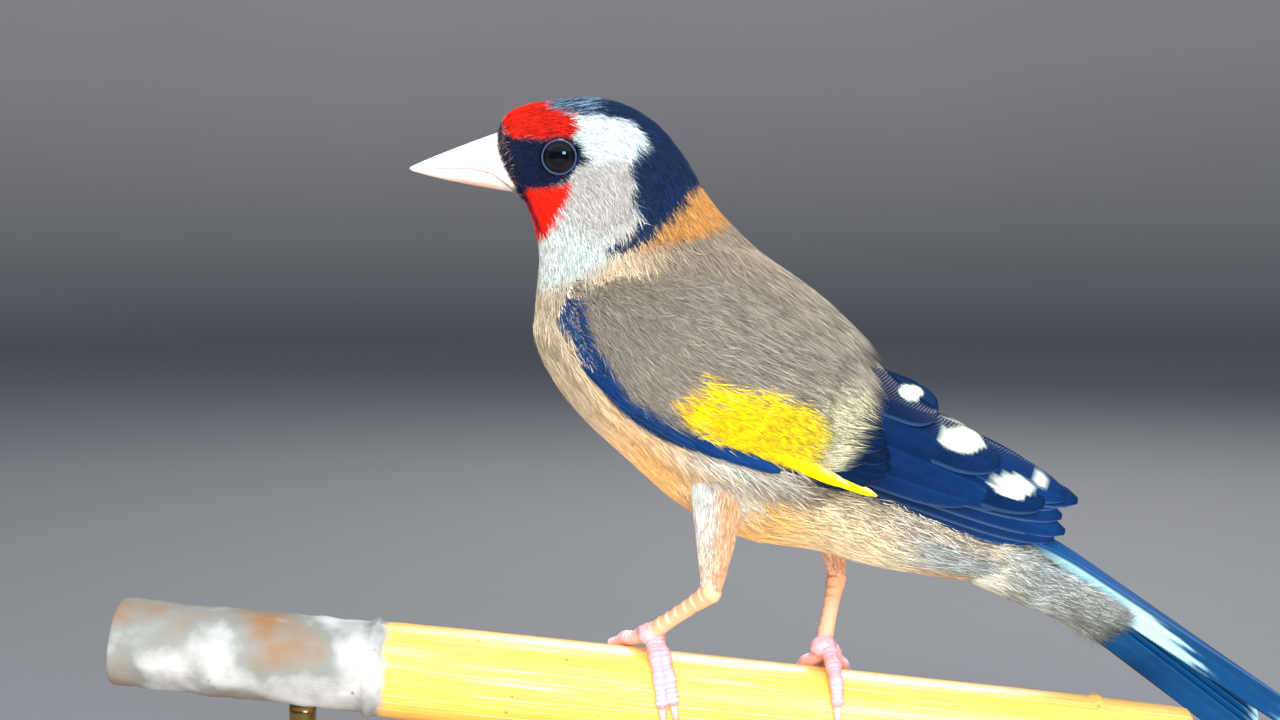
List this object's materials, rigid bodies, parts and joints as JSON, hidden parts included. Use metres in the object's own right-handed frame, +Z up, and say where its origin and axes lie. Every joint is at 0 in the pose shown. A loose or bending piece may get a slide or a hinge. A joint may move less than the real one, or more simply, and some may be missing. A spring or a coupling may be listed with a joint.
{
  "type": "european goldfinch",
  "caption": "Life-size still model of a European goldfinch perched on a short cut length of cane, held over a flat display base by short rods.",
  "frame": {"origin": "centre of the underside of the display stand's base", "axes": "+Z up, the bird faces -X, its left side is -Y, and the cane lies along X"},
  "size_m": [0.1437, 0.058, 0.0948],
  "materials": {
    "head_feathers": "soft barred feathers, red face, black crown and nape, white cheek",
    "brown_feathers": "soft feathers, grey-brown back, buff sides, white belly",
    "wing_feathers": "satin black flight feathers with a yellow bar and white tips",
    "tail_feathers": "satin black tail feathers with white patches",
    "bill": "pale pinkish horn, satin",
    "eye": "wet dark brown",
    "leg": "scaled flesh-pink skin, satin",
    "claw": "translucent pale horn, satin",
    "cane": "yellow cane, glossy with fine lengthwise lines, grey crust at one end",
    "stand_wood": "dark oiled wood, satin",
    "stand_metal": "brushed brass"
  },
  "bodies": {
    "root": {"head": "head_feathers", "neck": "brown_feathers", "torso": "brown_feathers", "tail": "tail_feathers", "wing_left": "wing_feathers", "wing_right": "wing_feathers", "eye_left": "eye", "eye_right": "eye", "bill_upper": "bill", "bill_lower": "bill", "thigh_left": "brown_feathers", "thigh_right": "brown_feathers", "shank_left": "leg", "shank_right": "leg", "foot_left": "leg", "foot_right": "leg", "claw_left_inner": "claw", "claw_left_middle": "claw", "claw_left_outer": "claw", "claw_left_hind": "claw", "claw_right_inner": "claw", "claw_right_middle": "claw", "claw_right_outer": "claw", "claw_right_hind": "claw", "perch": "cane", "stand_base": "stand_wood", "stand_rod_front": "stand_metal", "stand_rod_rear": "stand_metal"}
  },
  "joints": []
}
